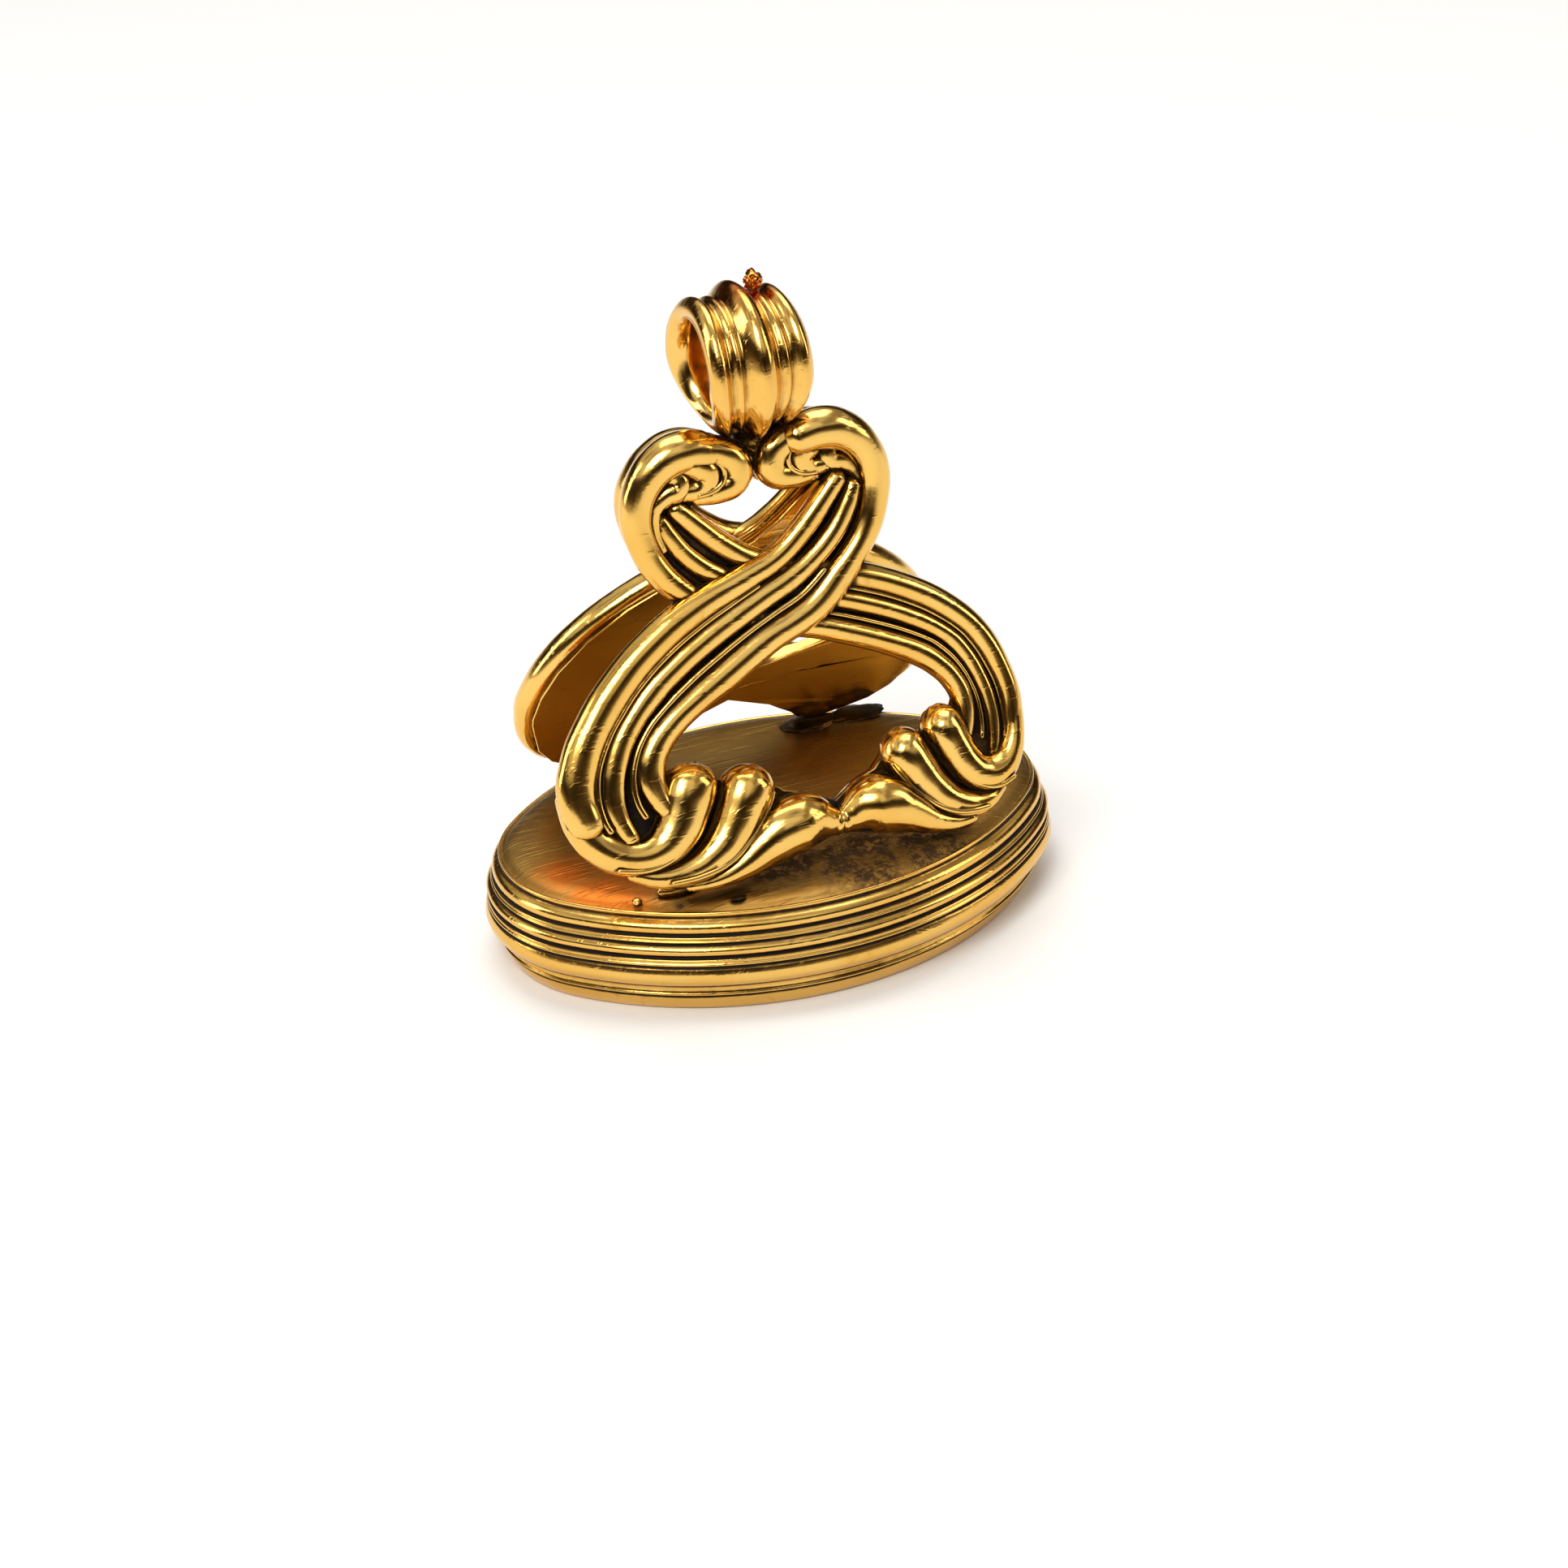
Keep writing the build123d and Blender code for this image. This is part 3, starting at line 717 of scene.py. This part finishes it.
# Rays that look for nearby metal: how many, how far they reach, how far above the surface they
# start, the rise of the lowest and the span up to the steepest, and how much less a far hit counts.
RAY_COUNT, RAY_REACH, RAY_START = 14, 1.6, 0.03
RAY_LOWEST, RAY_SPAN = 0.15, 0.83
FAR_LOSS = 0.6
# Fine grooves of the rim, down from the top, and the painted shade and residue in them.
GROOVE_FALLS = (0.54, 1.17, 1.51, 2.05, 2.46, 3.40, 4.02)
GROOVE_REACH, GROOVE_SHADE_AND_RESIDUE, GROOVE_INSET = 0.08, 0.55, 0.8


def mark_hollows(pieces):
    """Stores on each vertex how much of its sky is closed by nearby metal."""
    verts, faces = [], []
    for piece in pieces:
        start = len(verts)
        verts += [v.co / MM for v in piece.data.vertices]
        faces += [[start + i for i in p.vertices] for p in piece.data.polygons]
    tree = BVHTree.FromPolygons(verts, faces)
    golden = pi * (3 - 5 ** 0.5)
    rays = []
    for i in range(RAY_COUNT):
        z = RAY_LOWEST + RAY_SPAN * (i + 0.5) / RAY_COUNT
        r = (1 - z * z) ** 0.5
        rays.append(Vector((r * cos(i * golden), r * sin(i * golden), z)))
    for piece in pieces:
        mesh = piece.data
        layer = mesh.attributes.new("hollow", "FLOAT", "POINT")
        values = []
        for vertex in mesh.vertices:
            turn = Vector((0, 0, 1)).rotation_difference(vertex.normal)
            start = vertex.co / MM + vertex.normal * RAY_START
            shut = 0.0
            for ray in rays:
                _, _, face_index, distance = tree.ray_cast(start, turn @ ray, RAY_REACH)
                if face_index is not None:
                    shut += 1 - FAR_LOSS * distance / RAY_REACH
            values.append(shut / RAY_COUNT)
        layer.data.foreach_set("value", values)


# The closed sky darkens the gold with painted shade and residue.
mark_hollows(gilded)
# The rim's fine grooves get more painted shade and residue.
grooves = [BASE_HEIGHT - fall for fall in GROOVE_FALLS]
shade_and_residue_layer = base.data.attributes["hollow"].data
for vertex in base.data.vertices:
    near = min(abs(vertex.co.z / MM - groove) for groove in grooves)
    inset = edge_distance(vertex.co.x / MM, vertex.co.y / MM)
    if near < GROOVE_REACH and inset < GROOVE_INSET:
        shade_and_residue_layer[vertex.index].value += GROOVE_SHADE_AND_RESIDUE * (1 - near / GROOVE_REACH)

floor_bm = bmesh.new()
FLOOR_HALF_SIDE = 1.5
bmesh.ops.create_grid(floor_bm, x_segments=1, y_segments=1, size=FLOOR_HALF_SIDE)
floor_mesh = bpy.data.meshes.new("floor")
floor_bm.to_mesh(floor_mesh)
floor_bm.free()
floor = bpy.data.objects.new("floor", floor_mesh)
bpy.context.collection.objects.link(floor)
floor_material = bpy.data.materials.new("floor")
floor_material.use_nodes = True
floor_shader = floor_material.node_tree.nodes["Principled BSDF"]
floor_shader.inputs["Base Color"].default_value = (0.86, 0.86, 0.85, 1)
floor_shader.inputs["Roughness"].default_value = 0.7
floor_mesh.materials.append(floor_material)


# Places from here on are in metres.
LIGHTS_AIM = Vector((0, 0, 0.012))


def area_light(name, place, size, power, tint=(1, 1, 1)):
    """Soft light that faces the seal."""
    lamp = bpy.data.lights.new(name, "AREA")
    lamp.shape = "RECTANGLE"
    lamp.size, lamp.size_y = size
    lamp.energy = power
    lamp.color = tint
    holder = bpy.data.objects.new(name, lamp)
    bpy.context.collection.objects.link(holder)
    holder.location = place
    holder.rotation_euler = (LIGHTS_AIM - Vector(place)).to_track_quat("-Z", "Y").to_euler()


area_light("key", (-0.15, -0.16, 0.26), (0.14, 0.14), 0.62, (1.0, 0.95, 0.90))
area_light("fill", (0.30, -0.14, 0.16), (0.12, 0.24), 0.26, (1.0, 0.94, 0.90))
area_light("top", (0.04, 0.10, 0.34), (0.30, 0.22), 0.62)
area_light("rim", (-0.30, 0.10, 0.14), (0.10, 0.24), 0.30)

# The studio by the height of the view: pale below the horizon, dark in a band above it, and
# bright from half way up.
SKY_BOTTOM, SKY_TOP = (0.60, 0.56, 0.52, 1), (0.75, 0.75, 0.76, 1)
SKY_BANDS = ((0.10, (0.16, 0.11, 0.06, 1)), (0.22, (0.03, 0.02, 0.012, 1)),
             (0.42, (0.04, 0.028, 0.018, 1)), (0.52, (0.85, 0.83, 0.80, 1)),
             (0.80, (1.0, 1.0, 1.0, 1)))
VEIL_DARK, VEIL_LIGHT = (0.34, 0.31, 0.27), (1.0, 1.0, 1.0)
SKY_STRENGTH = 0.95

world = bpy.data.worlds.new("studio")
bpy.context.scene.world = world
world.use_nodes = True
sky = world.node_tree
sky_place = sky.nodes.new("ShaderNodeTexCoord")
split = sky.nodes.new("ShaderNodeSeparateXYZ")
sky.links.new(sky_place.outputs["Generated"], split.inputs["Vector"])
ramp = sky.nodes.new("ShaderNodeValToRGB")
bands = ramp.color_ramp
bands.elements[0].color, bands.elements[1].color = SKY_BOTTOM, SKY_TOP
for level, shade in SKY_BANDS:
    bands.elements.new(level).color = shade
sky.links.new(split.outputs["Z"], ramp.inputs["Fac"])
cloudy = ramp_node(sky, noise_node(sky, sky_place.outputs["Generated"], 2.3, 1.0, 0.4), 0.40, 0.60)
veil = mix_node(sky, cloudy, VEIL_DARK, VEIL_LIGHT)
sky.links.new(mix_node(sky, 1.0, ramp.outputs["Color"], veil, "MULTIPLY"),
              sky.nodes["Background"].inputs["Color"])
sky.nodes["Background"].inputs["Strength"].default_value = SKY_STRENGTH

# Camera, in millimetres, found from the oval, the feet and the bail in the photograph.
CAMERA_AZIMUTH, CAMERA_ELEVATION, CAMERA_ROLL = radians(-21.4), radians(28.5), radians(-2.8)
CAMERA_DISTANCE, CAMERA_LENS = 140.0, 78.0
CAMERA_TARGET = Vector((0.70, 0.0, 5.39))
back_way = Vector((sin(CAMERA_AZIMUTH) * cos(CAMERA_ELEVATION),
                   -cos(CAMERA_AZIMUTH) * cos(CAMERA_ELEVATION), sin(CAMERA_ELEVATION)))
right_way = Vector((cos(CAMERA_AZIMUTH), sin(CAMERA_AZIMUTH), 0))
up_way = back_way.cross(right_way)
turned_right = right_way * cos(CAMERA_ROLL) + up_way * sin(CAMERA_ROLL)
turned_up = up_way * cos(CAMERA_ROLL) - right_way * sin(CAMERA_ROLL)
camera_data = bpy.data.cameras.new("camera")
camera_data.lens = CAMERA_LENS
camera_data.sensor_width = 36.0
camera_data.clip_start = 0.005
camera = bpy.data.objects.new("camera", camera_data)
bpy.context.collection.objects.link(camera)
pose = Matrix((turned_right, turned_up, back_way)).transposed().to_4x4()
pose.translation = (CAMERA_TARGET + back_way * CAMERA_DISTANCE) * MM
camera.matrix_world = pose
bpy.context.scene.camera = camera
bpy.context.scene.view_settings.view_transform = "Standard"
